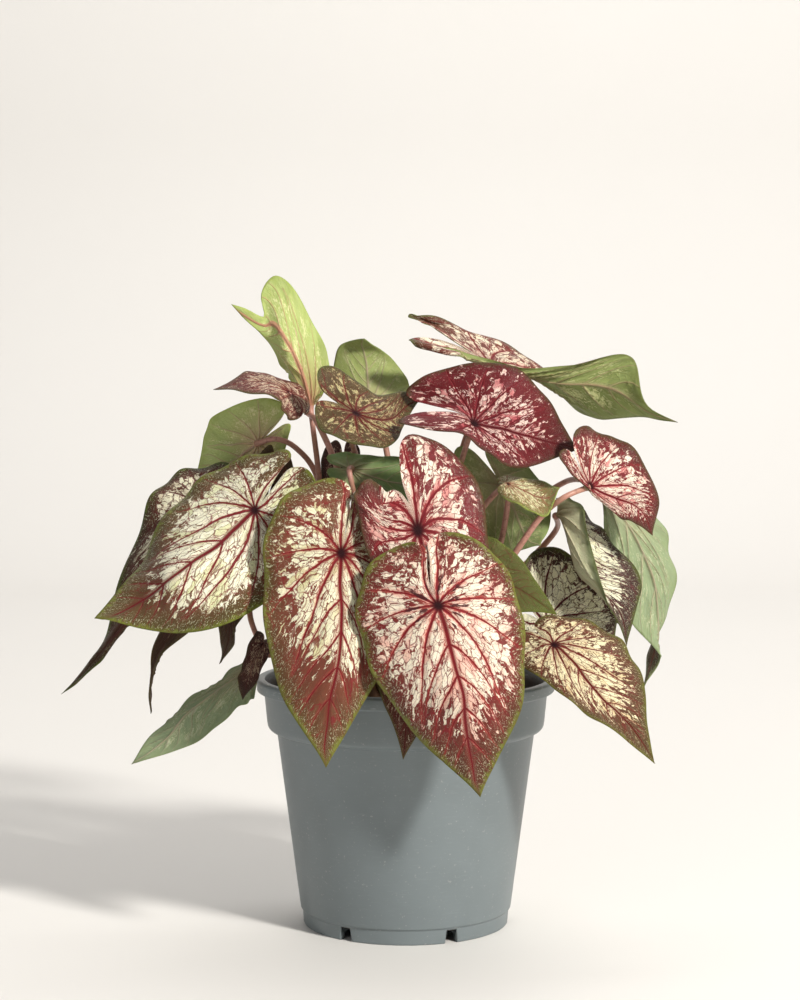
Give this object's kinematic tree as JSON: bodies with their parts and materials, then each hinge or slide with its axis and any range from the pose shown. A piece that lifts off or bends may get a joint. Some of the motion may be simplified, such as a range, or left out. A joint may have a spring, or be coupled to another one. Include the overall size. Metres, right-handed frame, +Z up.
{
  "type": "potted caladium plant",
  "caption": "Potted caladium: heart-shaped variegated leaves on thin stalks rising from a tuber in soil, in a round ribless nursery pot with a raised rim band and drain slots.",
  "frame": {"origin": "on the pot's axis, on the surface the pot stands on", "axes": "+Z up along the pot's axis, -Y towards the side the picture shows, +X to its right"},
  "size_m": [0.2475, 0.1516, 0.2603],
  "materials": {
    "pot_plastic": "satin moulded plastic, slate grey",
    "soil_peat": "crumbly dark peat with short fibres",
    "tuber_bark": "dry brown skin",
    "stalk_skin": "smooth pinkish brown plant skin",
    "leaf_front": "thin satin leaf, variegated",
    "leaf_front_left": "thin satin leaf, variegated",
    "leaf_left": "thin satin leaf, variegated",
    "leaf_left_behind": "thin satin leaf, variegated",
    "leaf_left_ribbon": "thin satin leaf, variegated",
    "leaf_left_tip": "thin satin leaf, variegated",
    "leaf_low_left": "thin satin leaf, variegated",
    "leaf_low_left_curl": "thin satin leaf, variegated",
    "leaf_round_green": "thin satin leaf, variegated",
    "leaf_top": "thin satin leaf, variegated",
    "leaf_left_roll": "thin satin leaf, variegated",
    "leaf_top_curl": "thin satin leaf, variegated",
    "leaf_back_green": "thin satin leaf, variegated",
    "leaf_top_right": "thin satin leaf, variegated",
    "leaf_red_high": "thin satin leaf, variegated",
    "leaf_red_centre": "thin satin leaf, variegated",
    "leaf_red_right": "thin satin leaf, variegated",
    "leaf_right_hanging": "thin satin leaf, variegated",
    "leaf_right_mid": "thin satin leaf, variegated",
    "leaf_low_right": "thin satin leaf, variegated",
    "leaf_right_folded": "thin satin leaf, variegated",
    "leaf_green_back": "thin satin leaf, variegated",
    "leaf_right_curl": "thin satin leaf, variegated",
    "leaf_dark_green": "thin satin leaf, variegated",
    "leaf_small_brown": "thin satin leaf, variegated",
    "leaf_olive": "thin satin leaf, variegated",
    "leaf_under_front": "thin satin leaf, variegated"
  },
  "bodies": {
    "root": {"pot": "pot_plastic", "soil": "soil_peat", "tuber": "tuber_bark", "leaf_front": "leaf_front", "stalk_front": "stalk_skin", "leaf_front_left": "leaf_front_left", "stalk_front_left": "stalk_skin", "leaf_left": "leaf_left", "stalk_left": "stalk_skin", "leaf_left_behind": "leaf_left_behind", "stalk_left_behind": "stalk_skin", "leaf_left_ribbon": "leaf_left_ribbon", "stalk_left_ribbon": "stalk_skin", "leaf_left_tip": "leaf_left_tip", "stalk_left_tip": "stalk_skin", "leaf_low_left": "leaf_low_left", "stalk_low_left": "stalk_skin", "leaf_low_left_curl": "leaf_low_left_curl", "stalk_low_left_curl": "stalk_skin", "leaf_round_green": "leaf_round_green", "stalk_round_green": "stalk_skin", "leaf_top": "leaf_top", "stalk_top": "stalk_skin", "leaf_left_roll": "leaf_left_roll", "stalk_left_roll": "stalk_skin", "leaf_top_curl": "leaf_top_curl", "stalk_top_curl": "stalk_skin", "leaf_back_green": "leaf_back_green", "stalk_back_green": "stalk_skin", "leaf_top_right": "leaf_top_right", "stalk_top_right": "stalk_skin", "leaf_red_high": "leaf_red_high", "stalk_red_high": "stalk_skin", "leaf_red_centre": "leaf_red_centre", "stalk_red_centre": "stalk_skin", "leaf_red_right": "leaf_red_right", "stalk_red_right": "stalk_skin", "leaf_right_hanging": "leaf_right_hanging", "stalk_right_hanging": "stalk_skin", "leaf_right_mid": "leaf_right_mid", "stalk_right_mid": "stalk_skin", "leaf_low_right": "leaf_low_right", "stalk_low_right": "stalk_skin", "leaf_right_folded": "leaf_right_folded", "stalk_right_folded": "stalk_skin", "leaf_green_back": "leaf_green_back", "stalk_green_back": "stalk_skin", "leaf_right_curl": "leaf_right_curl", "stalk_right_curl": "stalk_skin", "leaf_dark_green": "leaf_dark_green", "stalk_dark_green": "stalk_skin", "leaf_small_brown": "leaf_small_brown", "stalk_small_brown": "stalk_skin", "leaf_olive": "leaf_olive", "stalk_olive": "stalk_skin", "leaf_under_front": "leaf_under_front", "stalk_under_front": "stalk_skin"}
  },
  "joints": []
}
